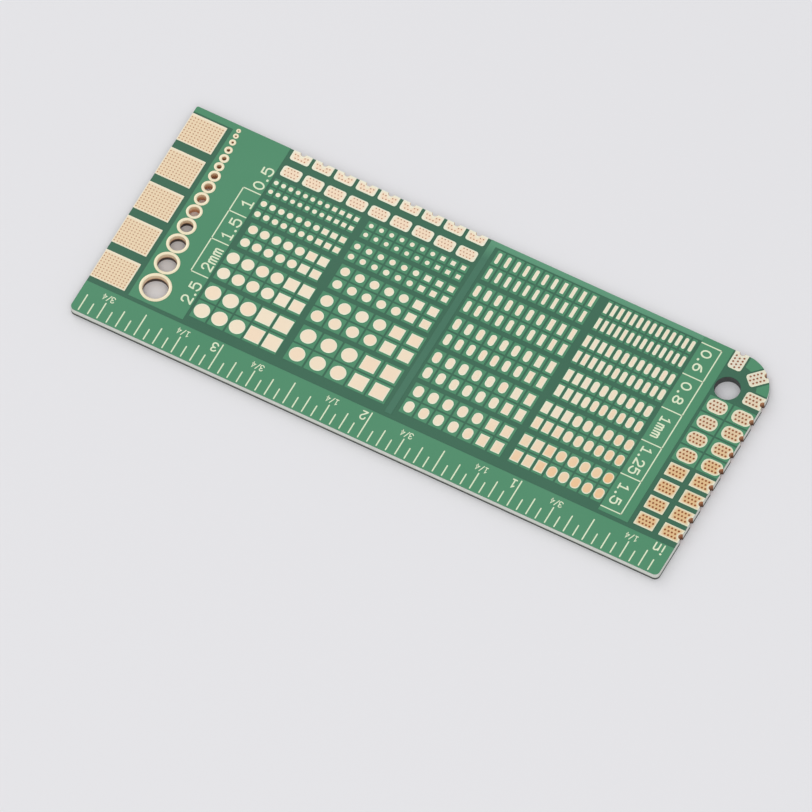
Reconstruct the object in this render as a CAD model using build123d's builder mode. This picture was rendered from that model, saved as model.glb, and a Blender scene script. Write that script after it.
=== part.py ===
from build123d import *
from math import floor
import os

os.makedirs("parts", exist_ok=True)

# Soldering practice board: a printed circuit board with graded lands, a run of plated holes,
# perforated edge pads and a printed ruler. All sizes are in millimetres.
# Sketches are drawn from the board's front left corner, seen from above, with X along the
# ruler and Y away from it. The ruler runs along the front edge.

# Board. It is as long and as wide as what it carries: see the worked-out sizes below.
board_thickness = 1.5
foil_thickness = 0.04
finish_thickness = 0.06
big_corner_radius = 6.0
front_corner_radius = 0.8
back_corner_radius = 0.3

# Mounting hole, measured from the right and back edges
mounting_hole_diameter = 4.0
mounting_hole_from_right = 6.1
mounting_hole_from_back = 6.4

# Bands of masked foil, and the bare lines between them
ruler_band = 5.4
band_line = 0.7
cell_line = 0.3
back_margin = 0.9
back_line = 0.1

# Mesh pads at the left edge. They share the width between the ruler band and the back.
mesh_length = 5.95
mesh_line = 1.5
mesh_count = 5
mesh_front_margin = 0.275
mesh_back_margin = 1.375

# Field round the plated holes and the left label
hole_field_length = 9.3
mesh_gap = 0.8
ring_inset = 0.52

# Plated holes from the front: bore, ring, and the gap to the ring or field edge before
plating = 0.05
plated_holes = (
    (4.00, 5.00, 0.52),
    (3.05, 4.00, 0.02),
    (2.55, 3.50, 0.02),
    (2.05, 3.00, 0.02),
    (1.70, 2.55, 0.02),
    (1.45, 2.35, 0.02),
    (1.30, 2.20, 0.02),
    (1.10, 1.95, 0.02),
    (0.75, 1.60, 0.02),
    (0.70, 1.55, 0.04),
    (0.55, 1.30, 0.16),
    (0.40, 1.10, 0.28),
    (0.30, 0.90, 0.20),
    (0.20, 0.75, 0.17),
)

# Small round shapes repeat by the hundred, so each is drawn with as few sides as its size
# allows: few up to one diameter, more up to the next, and most above that
few_sides = 8
more_sides = 12
most_sides = 16
few_sides_up_to = 1.6
more_sides_up_to = 3.5
oval_corner_share = 0.3

# Blocks of lands. Each holds as many columns of a size as fit its length, in two rows.
lands_margin = 0.9
group_line = 0.5
row_gap = 1.0
close_gap = 0.5
spaced_gap = 1.0
close_round_length = 15.0
spaced_round_length = 18.0
spaced_oval_length = 18.0
close_oval_length = 16.0
oval_land_width = 2.0
field_gap = 0.35
block_gap = 0.75
centre_gap = 1.7
centre_strip = 1.1
rounding_slack = 0.001

# Sizes of the lands from the front, and how many columns of each have square corners
round_sizes = (2.5, 2.0, 1.5, 1.0, 0.75)
close_round_square_counts = (2, 2, 2, 3, 4)
spaced_round_square_counts = (2, 2, 2, 3, 3)
oval_sizes = (1.5, 1.25, 1.0, 0.8, 0.6)
spaced_oval_square_counts = (2, 2, 2, 3, 4)
close_oval_square_counts = (3, 3, 3, 4, 5)

# Perforated pads at the back edge. They share the length of the two round blocks.
back_pad_count = 9
back_pad_gap = 0.55
inner_back_pad_width = 1.95
outer_back_pad_width = 1.75
back_pad_line = 1.2
back_pad_corner = 0.4

# Perforated pads at the right edge: plain rows at the front, rounded rows in cells behind
right_pad_length = 3.2
right_pad_width = 2.4
right_plain_row_count = 4
right_round_row_count = 4
right_pad_corner = 0.8
right_pad_margin = 0.3
right_pad_inset = 0.1
right_column_gap = 1.0
right_cell_margin = 0.3
right_line = 0.5

# Pads round the big corner
corner_pad_width = 2.3
corner_pad_length = 3.1
upright_pad_from_right = 6.88
level_pad_from_back = 6.58
level_pad_from_rows = 3.42
corner_field_inner_radius = 4.1

# Half holes through the edge, plated inside
edge_hole_diameter = 0.9
right_angle = 0
slant_angle = 45
back_angle = 90

# Label strip at the right
label_field_length = 5.0
label_field_gap = 0.1

top_of_board = board_thickness
top_of_foil = top_of_board + foil_thickness
top_of_lands = top_of_foil + finish_thickness

# Places along the board's length, which add up to the length itself
hole_field_left = mesh_length + mesh_gap
hole_field_right = hole_field_left + hole_field_length
close_round_left = hole_field_right + field_gap
spaced_round_left = close_round_left + close_round_length + block_gap
spaced_oval_left = spaced_round_left + spaced_round_length + centre_gap
close_oval_left = spaced_oval_left + spaced_oval_length + block_gap
label_field_left = close_oval_left + close_oval_length + label_field_gap
label_field_right = label_field_left + label_field_length
inner_column = label_field_right + right_line + right_cell_margin + right_pad_length / 2
outer_column = inner_column + right_pad_length + right_column_gap
board_length = outer_column + right_pad_length / 2 + right_pad_inset

# Places across the board's width. The oval blocks are the deepest, so they set the width.
field_front = ruler_band + band_line
lands_front = field_front + lands_margin
oval_depth = 2 * len(oval_sizes) * (oval_land_width + row_gap)
oval_depth += (len(oval_sizes) - 1) * group_line
board_width = lands_front + oval_depth + back_line + back_margin
mesh_front = field_front + mesh_front_margin
mesh_back = board_width - mesh_back_margin
mesh_pitch = (mesh_back + mesh_line - mesh_front) / mesh_count
mesh_width = mesh_pitch - mesh_line
back_pad_pitch = (spaced_round_left + spaced_round_length - close_round_left) / back_pad_count
back_pad_length = back_pad_pitch - back_pad_gap
corner_x = board_length - big_corner_radius
corner_y = board_width - big_corner_radius


def level(height):
    """Plane at a height, with its origin above the board's front left corner."""
    return Plane(origin=(-board_length / 2, -board_width / 2, height))


def save(piece, name):
    """Label one finished piece and write it to its own file."""
    piece.label = name
    export_step(piece, f"parts/{name}.step")


def sides_for(diameter):
    """How many sides a round shape of this diameter is drawn with."""
    if diameter <= few_sides_up_to:
        return few_sides
    return more_sides if diameter <= more_sides_up_to else most_sides


def disc(diameter, sides, mode=Mode.ADD):
    """Draw a round shape as a polygon that is as wide across its flats."""
    RegularPolygon(diameter / 2, sides, major_radius=False, rotation=180 / sides, mode=mode)


def rectangle_between(left, front, right, back, mode=Mode.ADD):
    """Draw a rectangle between two opposite corners."""
    with Locations(((left + right) / 2, (front + back) / 2)):
        Rectangle(right - left, back - front, mode=mode)


def cut_corner_rectangle(length, width, corner):
    """Draw a rectangle with its four corners cut off, for a land with rounded ends."""
    x, y = length / 2, width / 2
    Polygon(
        (x, corner - y), (x, y - corner), (x - corner, y), (corner - x, y),
        (-x, y - corner), (-x, corner - y), (corner - x, -y), (x - corner, -y),
    )


def board_outline():
    """Draw the board's outline, with one large corner at the back right."""
    rectangle_between(0, 0, board_length, board_width)
    corners = vertices().sort_by(Axis.X)
    left, right = corners[:2].sort_by(Axis.Y), corners[2:].sort_by(Axis.Y)
    fillet([left[0], right[0]], front_corner_radius)
    fillet(vertices().group_by(Axis.X)[0].sort_by(Axis.Y)[-1], back_corner_radius)
    fillet(vertices().group_by(Axis.X)[-1].sort_by(Axis.Y)[-1], big_corner_radius)


def plated_hole_centres():
    """Centres of the plated holes: rings in line at their left side, each beside the last."""
    centres = []
    edge = field_front
    for bore, ring, gap in plated_holes:
        edge += gap + ring / 2
        centres.append((hole_field_left + ring_inset + ring / 2, edge))
        edge += ring / 2
    return centres


def back_pad_columns():
    """X of each perforated pad along the back edge, from the left of the round blocks."""
    return [close_round_left + back_pad_pitch * (i + 0.5) for i in range(back_pad_count)]


def right_pad_rows():
    """Y of each perforated pad along the right edge: the plain rows, then the round ones."""
    count = right_plain_row_count + right_round_row_count
    first = field_front + right_pad_margin + right_pad_width / 2
    last = board_width - level_pad_from_back - level_pad_from_rows
    rows = [first + (last - first) * i / (count - 1) for i in range(count)]
    return rows[:right_plain_row_count], rows[right_plain_row_count:]


def edge_places(points, facing):
    """Places on the board's edge, each with its local X pointing out of the board."""
    return [Location((x, y, 0), (0, 0, facing)) for x, y in points]


plain_rows, round_rows = right_pad_rows()
back_edge = edge_places([(x, board_width) for x in back_pad_columns()], back_angle)
right_edge_plain = edge_places([(board_length, y) for y in plain_rows], right_angle)
right_edge_round = edge_places([(board_length, y) for y in round_rows], right_angle)
slant = Vector(big_corner_radius, 0).rotate(Axis.Z, slant_angle)
corner_edge = (
    edge_places([(board_length - upright_pad_from_right, board_width)], back_angle)
    + edge_places([(corner_x + slant.X, corner_y + slant.Y)], slant_angle)
    + edge_places([(board_length, board_width - level_pad_from_back)], right_angle)
)
edge_hole_places = back_edge + right_edge_plain + right_edge_round + corner_edge


def edge_holes(diameter, mode=Mode.SUBTRACT):
    """Draw the hole at each place in use. The board's edge cuts it in half."""
    RegularPolygon(diameter / 2, few_sides, mode=mode)


def half_tubes(places):
    """Draw the plating that lines the half hole at each place."""
    with Locations(places):
        edge_holes(edge_hole_diameter + 2 * plating, mode=Mode.ADD)
    with Locations(places):
        edge_holes(edge_hole_diameter)
        Rectangle(
            edge_hole_diameter, 2 * edge_hole_diameter,
            align=(Align.MIN, Align.CENTER), mode=Mode.SUBTRACT,
        )


# Laminate with its coat of mask
with BuildPart() as board:
    with BuildSketch(level(0)):
        board_outline()
        hole_x = board_length - mounting_hole_from_right
        hole_y = board_width - mounting_hole_from_back
        with Locations((hole_x, hole_y)):
            Circle(mounting_hole_diameter / 2, mode=Mode.SUBTRACT)
        for (bore, ring, gap), centre in zip(plated_holes, plated_hole_centres()):
            with Locations(centre):
                disc(bore + 2 * plating, sides_for(ring), mode=Mode.SUBTRACT)
        with Locations(edge_hole_places):
            edge_holes(edge_hole_diameter + 2 * plating)
    extrude(amount=board_thickness)
save(board.part, "board")

# Masked foil under the ruler
with BuildPart() as ruler_field:
    with BuildSketch(level(top_of_board)):
        board_outline()
        rectangle_between(0, ruler_band, board_length, board_width, mode=Mode.SUBTRACT)
    extrude(amount=foil_thickness)
save(ruler_field.part, "field_ruler")

# Masked foil round the plated holes and the left label, and behind the mesh pads
with BuildPart() as hole_field:
    with BuildSketch(level(top_of_board)):
        rectangle_between(hole_field_left, field_front, hole_field_right, board_width)
        rectangle_between(0, mesh_back + cell_line, hole_field_left, board_width)
        for (bore, ring, gap), centre in zip(plated_holes, plated_hole_centres()):
            with Locations(centre):
                disc(bore + 2 * plating, sides_for(ring), mode=Mode.SUBTRACT)
    extrude(amount=foil_thickness)
    with BuildSketch(level(top_of_board)):
        board_outline()
    extrude(amount=foil_thickness, mode=Mode.INTERSECT)
save(hole_field.part, "field_holes")

# Masked foil under the right label
with BuildPart() as label_field:
    with BuildSketch(level(top_of_board)):
        rectangle_between(label_field_left, field_front, label_field_right, board_width)
    extrude(amount=foil_thickness)
save(label_field.part, "field_label")

# Masked foil up the middle of the board and along the back edge
with BuildPart() as centre_field:
    with BuildSketch(level(top_of_board)):
        strip_left = spaced_oval_left - centre_gap / 2 - centre_strip / 2
        rectangle_between(strip_left, field_front, strip_left + centre_strip, board_width)
        rectangle_between(strip_left, board_width - back_margin, label_field_left, board_width)
    extrude(amount=foil_thickness)
save(centre_field.part, "field_centre")

# Masked foil wedges between the pads of the big corner
with BuildPart() as corner_field:
    with BuildSketch(level(top_of_board)):
        with Locations((corner_x, corner_y)):
            Circle(big_corner_radius)
            Circle(corner_field_inner_radius, mode=Mode.SUBTRACT)
            Rectangle(
                big_corner_radius, big_corner_radius,
                align=(Align.MIN, Align.MIN), mode=Mode.INTERSECT,
            )
        with Locations(corner_edge):
            Rectangle(
                4 * corner_pad_length, corner_pad_width + 2 * cell_line, mode=Mode.SUBTRACT
            )
    extrude(amount=foil_thickness)
save(corner_field.part, "field_corner")

# Masked foil cells round the rounded pads of the right edge
with BuildPart() as right_cells:
    with BuildSketch(level(top_of_board)):
        cell_left = inner_column - right_pad_length / 2 - right_cell_margin
        cell_right = inner_column + right_pad_length / 2 + right_cell_margin
        half_cell = (round_rows[1] - round_rows[0] - cell_line) / 2
        for y in round_rows:
            rectangle_between(cell_left, y - half_cell, cell_right, y + half_cell)
            rectangle_between(cell_right + cell_line, y - half_cell, board_length, y + half_cell)
        with Locations(right_edge_round):
            edge_holes(edge_hole_diameter + 2 * plating)
    extrude(amount=foil_thickness)
save(right_cells.part, "field_right_pads")

# Plated holes: a ring on the foil, and a tube through the board
for number, ((bore, ring, gap), centre) in enumerate(
    zip(plated_holes, plated_hole_centres()), start=1
):
    with BuildPart() as plated_hole:
        with BuildSketch(level(top_of_foil)):
            with Locations(centre):
                disc(ring, sides_for(ring))
        extrude(amount=finish_thickness)
        with BuildSketch(level(0)):
            with Locations(centre):
                disc(bore + 2 * plating, sides_for(ring))
        extrude(amount=top_of_foil)
        with BuildSketch(level(0)):
            with Locations(centre):
                disc(bore, sides_for(ring))
        extrude(amount=top_of_lands, mode=Mode.SUBTRACT)
    save(plated_hole.part, f"plated_hole_{number:02d}")

# Mesh pads at the left edge
with BuildPart() as mesh_pads:
    with BuildSketch(level(top_of_board)):
        for row in range(mesh_count):
            front = mesh_front + mesh_pitch * row
            rectangle_between(0, front, mesh_length, front + mesh_width)
    extrude(amount=foil_thickness + finish_thickness)
save(mesh_pads.part, "mesh_pads")

# Perforated pads along the back edge, the outer ones cut by half holes
with BuildPart() as outer_back_pads:
    with BuildSketch(level(top_of_board)):
        with Locations(back_edge):
            Rectangle(outer_back_pad_width, back_pad_length, align=(Align.MAX, Align.CENTER))
        with Locations(back_edge):
            edge_holes(edge_hole_diameter)
    extrude(amount=foil_thickness + finish_thickness)
    with BuildSketch(level(0)):
        half_tubes(back_edge)
    extrude(amount=top_of_lands)
save(outer_back_pads.part, "back_pads_outer")

with BuildPart() as inner_back_pads:
    with BuildSketch(level(top_of_board)):
        inner_row = board_width - outer_back_pad_width - back_pad_line - inner_back_pad_width / 2
        for x in back_pad_columns():
            with Locations((x, inner_row)):
                cut_corner_rectangle(back_pad_length, inner_back_pad_width, back_pad_corner)
    extrude(amount=foil_thickness + finish_thickness)
save(inner_back_pads.part, "back_pads_inner")

# Perforated pads along the right edge: plain ones on the board, rounded ones on their cells
with BuildPart() as outer_right_pads:
    with BuildSketch(level(top_of_board)):
        for y in plain_rows:
            with Locations((outer_column, y)):
                Rectangle(right_pad_length, right_pad_width)
        with Locations(right_edge_plain):
            edge_holes(edge_hole_diameter)
    extrude(amount=foil_thickness + finish_thickness)
    with BuildSketch(level(top_of_foil)):
        for y in round_rows:
            with Locations((outer_column, y)):
                cut_corner_rectangle(right_pad_length, right_pad_width, right_pad_corner)
        with Locations(right_edge_round):
            edge_holes(edge_hole_diameter)
    extrude(amount=finish_thickness)
    with BuildSketch(level(0)):
        half_tubes(right_edge_plain + right_edge_round)
    extrude(amount=top_of_lands)
save(outer_right_pads.part, "right_pads_outer")

with BuildPart() as inner_right_pads:
    with BuildSketch(level(top_of_board)):
        for y in plain_rows:
            with Locations((inner_column, y)):
                Rectangle(right_pad_length, right_pad_width)
    extrude(amount=foil_thickness + finish_thickness)
    with BuildSketch(level(top_of_foil)):
        for y in round_rows:
            with Locations((inner_column, y)):
                cut_corner_rectangle(right_pad_length, right_pad_width, right_pad_corner)
    extrude(amount=finish_thickness)
save(inner_right_pads.part, "right_pads_inner")

# Three pads round the big corner, cut by half holes like the outer rows and by the corner
with BuildPart() as corner_pads:
    with BuildSketch(level(top_of_board)):
        with Locations(corner_edge):
            Rectangle(corner_pad_length, corner_pad_width, align=(Align.MAX, Align.CENTER))
        with Locations(corner_edge):
            edge_holes(edge_hole_diameter)
    extrude(amount=foil_thickness + finish_thickness)
    with BuildSketch(level(top_of_board)):
        board_outline()
    extrude(amount=foil_thickness + finish_thickness, mode=Mode.INTERSECT)
    with BuildSketch(level(0)):
        half_tubes(corner_edge)
    extrude(amount=top_of_lands)
save(corner_pads.part, "corner_pads")


def land_rows(sizes, ovals):
    """For each size from the front: land width, row pitch, and Y of its two rows."""
    rows = []
    front = lands_front
    for size in sizes:
        width = oval_land_width if ovals else size
        pitch = width + row_gap
        rows.append((width, pitch, (front + pitch / 2, front + 3 * pitch / 2)))
        front += 2 * pitch + group_line
    return rows


def land_columns(left, length, pitch):
    """X of each column: as many as fit the block's length, centred in it."""
    count = floor(length / pitch + rounding_slack)
    first = left + length / 2 - pitch * (count - 1) / 2
    return [first + pitch * i for i in range(count)]


def land_block(
    block, left, length, gap, sizes, square_counts, ovals=False, square_first=False
):
    """One block of lands, a node a size, and the strips of masked foil that they stand on.

    Round blocks have lands as wide as they are long. Oval blocks have lands of one width,
    longer than they are broad, with rounded or square ends.
    """
    with BuildPart() as field:
        with BuildSketch(level(top_of_board)):
            for size, (width, row_pitch, rows) in zip(sizes, land_rows(sizes, ovals)):
                columns = land_columns(left, length, size + gap)
                for y in rows:
                    with Locations((left + length / 2, y)):
                        Rectangle(
                            len(columns) * (size + gap) - cell_line, row_pitch - cell_line
                        )
        extrude(amount=foil_thickness)
    save(field.part, f"field_{block}")
    for size, square_count, (width, row_pitch, rows) in zip(
        sizes, square_counts, land_rows(sizes, ovals)
    ):
        columns = land_columns(left, length, size + gap)
        squares = columns[:square_count] if square_first else columns[-square_count:]
        with BuildPart() as lands:
            with BuildSketch(level(top_of_foil)):
                for x in columns:
                    with Locations([(x, y) for y in rows]):
                        if x in squares:
                            Rectangle(size, width)
                        elif ovals:
                            cut_corner_rectangle(size, width, size * oval_corner_share)
                        else:
                            disc(size, sides_for(size))
            extrude(amount=finish_thickness)
        save(lands.part, f"lands_{block}_{size:g}mm".replace(".", "_"))


land_block(
    "close_round", close_round_left, close_round_length, close_gap,
    round_sizes, close_round_square_counts,
)
land_block(
    "spaced_round", spaced_round_left, spaced_round_length, spaced_gap,
    round_sizes, spaced_round_square_counts,
)
land_block(
    "spaced_oval", spaced_oval_left, spaced_oval_length, spaced_gap,
    oval_sizes, spaced_oval_square_counts, ovals=True,
)
land_block(
    "close_oval", close_oval_left, close_oval_length, close_gap,
    oval_sizes, close_oval_square_counts, ovals=True, square_first=True,
)
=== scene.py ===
# %% [markdown]
# # A soldering practice board
#
# The object is one printed circuit board, 100 by 40 mm and 1.6 mm thick. It carries four blocks
# of bright lands in falling sizes, a run of plated holes, perforated pads along two edges, and
# a printed ruler. Everything on it is flat and thin, so its look comes from crisp outlines,
# small steps between layers, and the difference between dull print, glossy mask and metal.
#
# The CAD model gives every place and size. This lesson dresses it: finer outlines, soft edges,
# real perforations, print and materials. Sizes are in millimetres and become metres at the end.

import math

import bpy
import numpy as np
from mathutils import Matrix, Vector
from mathutils.geometry import delaunay_2d_cdt


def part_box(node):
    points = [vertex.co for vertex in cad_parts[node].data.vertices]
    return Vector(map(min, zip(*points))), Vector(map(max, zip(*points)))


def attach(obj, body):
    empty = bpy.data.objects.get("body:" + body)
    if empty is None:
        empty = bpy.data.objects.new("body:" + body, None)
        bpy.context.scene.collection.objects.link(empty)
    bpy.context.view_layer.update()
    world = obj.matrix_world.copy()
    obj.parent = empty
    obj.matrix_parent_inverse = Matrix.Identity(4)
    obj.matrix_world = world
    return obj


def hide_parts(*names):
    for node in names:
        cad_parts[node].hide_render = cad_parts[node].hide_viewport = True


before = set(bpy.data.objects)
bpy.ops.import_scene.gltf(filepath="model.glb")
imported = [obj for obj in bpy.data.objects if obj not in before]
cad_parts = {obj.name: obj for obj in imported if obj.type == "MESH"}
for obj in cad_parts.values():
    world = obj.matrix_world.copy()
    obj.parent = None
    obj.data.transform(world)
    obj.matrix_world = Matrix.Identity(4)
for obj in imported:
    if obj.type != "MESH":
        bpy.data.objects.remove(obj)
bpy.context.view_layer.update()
MM = 0.001

# %% [markdown]
# ## The camera
#
# A product photographer shoots a small flat thing from far away with a long lens, so that its
# near and far edges come out almost the same length. The camera stands 4 m off and looks down
# steeply from the front right. Its lens follows from how many pixels one millimetre fills.

# %% Camera
image_pixels = 812
pixels_per_mm = 6.689
camera_azimuth = math.radians(30.37)
camera_elevation = math.radians(59.23)
camera_roll = math.radians(-2.21)
camera_distance = 4.0
aim_point = Vector((2.884, -11.591, 1.6)) * MM

back_of_camera = Vector((
    math.sin(camera_azimuth) * math.cos(camera_elevation),
    -math.cos(camera_azimuth) * math.cos(camera_elevation),
    math.sin(camera_elevation),
))
camera = bpy.data.objects.new("camera", bpy.data.cameras.new("camera"))
camera.data.sensor_width = 36.0
camera.data.lens = camera.data.sensor_width * pixels_per_mm / MM * camera_distance / image_pixels
camera.data.clip_end = 100.0
look = (-back_of_camera).to_track_quat("-Z", "Y").to_matrix().to_4x4()
camera.matrix_world = (
    Matrix.Translation(aim_point + back_of_camera * camera_distance)
    @ look @ Matrix.Rotation(camera_roll, 4, "Z")
)
bpy.context.scene.collection.objects.link(camera)
bpy.context.scene.camera = camera
print("lens in mm:", round(camera.data.lens))

# %% [markdown]
# ## Floor and light
#
# The floor is plain and pale. The pale world gives most of the light and is what the metal
# mirrors. A wide soft lamp at the back left and another at the front add a little direction,
# and both stand well off the mirror direction, so that the lacquer keeps its deep green.

# %% Floor, lamps and world
floor_size = 3.0
floor_mesh = bpy.data.meshes.new("floor")
half_floor = floor_size / 2
floor_mesh.from_pydata(
    [(-half_floor, -half_floor, 0), (half_floor, -half_floor, 0),
     (half_floor, half_floor, 0), (-half_floor, half_floor, 0)], [], [(0, 1, 2, 3)],
)
floor = bpy.data.objects.new("floor", floor_mesh)
bpy.context.scene.collection.objects.link(floor)


def soft_lamp(name, place, size, power):
    """Hang a square area lamp at a place in metres, facing the board."""
    lamp = bpy.data.lights.new(name, "AREA")
    lamp.size, lamp.energy = size, power
    holder = bpy.data.objects.new(name, lamp)
    holder.location = place
    holder.rotation_euler = (-Vector(place)).to_track_quat("-Z", "Y").to_euler()
    bpy.context.scene.collection.objects.link(holder)


soft_lamp("back_lamp", (-0.9, 0.5, 0.8), 0.8, 2.5)
soft_lamp("front_lamp", (0.5, -0.9, 1.1), 1.0, 6.0)

world = bpy.data.worlds.new("studio")
world.use_nodes = True
world.node_tree.nodes["Background"].inputs["Color"].default_value = (0.95, 0.96, 1.0, 1.0)
world.node_tree.nodes["Background"].inputs["Strength"].default_value = 0.75
bpy.context.scene.world = world
bpy.context.scene.view_settings.view_transform = "Standard"
print("lamps:", len(bpy.data.lights))

# %% [markdown]
# ## Materials
#
# Solder mask is a thin glossy lacquer. It is dark where it lies on bare laminate and lighter
# where copper shines through it. Both kinds have the faint weave of the glass cloth below and
# an uneven flow, so those two effects are shader groups with named sockets, shared by all
# the greens. Every pattern reads Object coordinates, in metres, so scales are large numbers.


# %% Helpers for node trees
def feed(tree, node, inputs):
    """Feed a node's inputs by name: a socket is linked, and a plain value or colour is set."""
    for name, value in inputs.items():
        socket = node.inputs[name]
        if isinstance(value, bpy.types.NodeSocket):
            tree.links.new(value, socket)
        elif socket.type == "RGBA":
            socket.default_value = (*value, 1.0)
        else:
            socket.default_value = value


def add_node(tree, kind, inputs=(), **settings):
    """Add a node, change its settings, feed its inputs and return its outputs."""
    node = tree.nodes.new("ShaderNode" + kind)
    for name, value in settings.items():
        setattr(node, name, value)
    feed(tree, node, dict(inputs))
    return node.outputs


def new_material(name, roughness, metallic=0.0, coat=0.0):
    """Start a material and return its node tree and shader too."""
    material = bpy.data.materials.new(name)
    material.use_nodes = True
    tree = material.node_tree
    shader = tree.nodes["Principled BSDF"]
    feed(tree, shader, {"Roughness": roughness, "Metallic": metallic, "Coat Weight": coat})
    return material, tree, shader


def effect_group(name, inputs, outputs):
    """Start a shader group that reads a place and some inputs, given with their start values."""
    group = bpy.data.node_groups.new(name, "ShaderNodeTree")
    for socket, start in {"Vector": (0.0, 0.0, 0.0), **inputs}.items():
        kind = "Float" if isinstance(start, float) else "Vector" if len(start) == 3 else "Color"
        made = group.interface.new_socket(socket, in_out="INPUT", socket_type="NodeSocket" + kind)
        made.default_value = start
    for socket, kind in outputs.items():
        group.interface.new_socket(socket, in_out="OUTPUT", socket_type="NodeSocket" + kind)
    return group, group.nodes.new("NodeGroupInput").outputs, group.nodes.new("NodeGroupOutput")


def mixed(tree, factor, first, second, blend="MIX"):
    """Mix two colours, each a socket or a plain value, by a factor socket."""
    inputs = {"Factor": factor, "A": first, "B": second}
    return add_node(tree, "Mix", inputs, data_type="RGBA", blend_type=blend)["Result"]


def ramp(tree, value, low, high):
    """A number that rises from 0 to 1 while a value rises from low to high."""
    return add_node(tree, "MapRange", {"Value": value, "From Min": low, "From Max": high})["Result"]


def object_place(tree):
    """Each point's place on the board, in metres."""
    return add_node(tree, "TexCoord")["Object"]


def along_axis(tree, place, axis, low, high):
    """A number that rises from 0 to 1 along one axis, between two places on it."""
    return ramp(tree, add_node(tree, "SeparateXYZ", {"Vector": place})[axis], low, high)


def relief(tree, shader, height, strength, distance):
    """Tilt a shader's normal by a height socket."""
    inputs = {"Height": height, "Strength": strength, "Distance": distance}
    feed(tree, shader, {"Normal": add_node(tree, "Bump", inputs)["Normal"]})


# %% Shared effect: drifting colour
drift_group, given, result = effect_group(
    "colour drift",
    {"Scale": 60.0, "First": (0.5, 0.5, 0.5, 1.0), "Second": (0.6, 0.6, 0.6, 1.0)},
    {"Color": "Color", "Mask": "Float"},
)
noise = add_node(
    drift_group, "TexNoise", {"Vector": given["Vector"], "Scale": given["Scale"], "Detail": 3.0}
)["Fac"]
drift_colour = mixed(drift_group, noise, given["First"], given["Second"])
feed(drift_group, result, {"Color": drift_colour, "Mask": noise})


def drifting(tree, place, scale, first, second):
    """Place the colour drift in a material, with its scale and its two colours."""
    inputs = {"Vector": place, "Scale": scale, "First": first, "Second": second}
    return add_node(tree, "Group", inputs, node_tree=drift_group)


# %% Shared effect: glass cloth under the lacquer
weave_group, given, result = effect_group("glass weave", {"Threads": 260.0}, {"Height": "Float"})
threads = add_node(
    weave_group, "VectorMath", {0: given["Vector"], "Scale": given["Threads"]}, operation="SCALE"
)["Vector"]
warp, weft = (
    add_node(
        weave_group, "TexWave", {"Vector": threads, "Distortion": 0.6}, bands_direction=direction
    )["Fac"]
    for direction in ("X", "Y")
)
crossing = add_node(weave_group, "Math", {0: warp, 1: weft}, operation="MULTIPLY")["Value"]
feed(weave_group, result, {"Height": crossing})

# %% Shared effect: painted warm light toward the front right corner
# This is painted warm light, not a tone of the metal: colours turn warmer toward that corner.
painted_warm_light_group, given, result = effect_group(
    "painted warm light", {"Color": (0.8, 0.8, 0.8, 1.0)}, {"Color": "Color"}
)
front_right = (1.0, -1.2, 0.0)
warm_tint = (0.97, 0.72, 0.46)
toward = add_node(
    painted_warm_light_group, "VectorMath", {0: given["Vector"], 1: front_right}, operation="DOT_PRODUCT"
)["Value"]
warmth = ramp(painted_warm_light_group, toward, 0.024, 0.048)
warmed = mixed(painted_warm_light_group, warmth, given["Color"], warm_tint, blend="MULTIPLY")
feed(painted_warm_light_group, result, {"Color": warmed})


# %% Green mask, dark on laminate and light on foil
def mask_material(name, first, second, back_edge=None):
    """Lacquer whose green drifts between two values, with the glass cloth as a faint relief.

    A strip that reaches the back edge may have a lighter green there.
    """
    material, tree, shader = new_material(name, roughness=0.42, coat=0.2)
    place = object_place(tree)
    green = drifting(tree, place, 45.0, first, second)["Color"]
    if back_edge:
        green = mixed(tree, along_axis(tree, place, "Y", 0.0165, 0.0195), green, back_edge)
    weave = add_node(tree, "Group", {"Vector": place, "Threads": 260.0}, node_tree=weave_group)
    feed(tree, shader, {"Base Color": green, "Coat Roughness": 0.22})
    relief(tree, shader, weave["Height"], strength=0.12, distance=0.00001)
    return material


dark_mask = mask_material("mask_on_laminate", (0.014, 0.112, 0.054), (0.028, 0.138, 0.070))
light_mask = mask_material("mask_on_foil", (0.042, 0.235, 0.105), (0.070, 0.268, 0.134))
strip_mask = mask_material(
    "mask_up_the_middle", (0.026, 0.146, 0.078), (0.044, 0.172, 0.096), (0.086, 0.296, 0.160)
)

# %% Cut edge of the laminate
# The edge has a painted shadow: it is painted dark at its foot, where the board meets the
# floor, and shows its own pale layers of glass and resin above.
# The drift is squeezed upright to a ninth, into layers.
edge_laminate, tree, shader = new_material("laminate_edge", roughness=0.75)
place = object_place(tree)
squeeze = (1.0, 1.0, 9.0)
squeezed = add_node(tree, "VectorMath", {0: place, 1: squeeze}, operation="MULTIPLY")
layers = drifting(tree, squeezed["Vector"], 900.0, (0.44, 0.45, 0.38), (0.86, 0.88, 0.82))
# Painted shadow: the colour falls to near black toward the edge's foot.
height = along_axis(tree, place, "Z", 0.00032, 0.00066)
layers_with_painted_foot_shadow = mixed(tree, height, (0.024, 0.029, 0.022), layers["Color"])
feed(tree, shader, {"Base Color": layers_with_painted_foot_shadow})
relief(tree, shader, layers["Mask"], strength=0.4, distance=0.00003)


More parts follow.
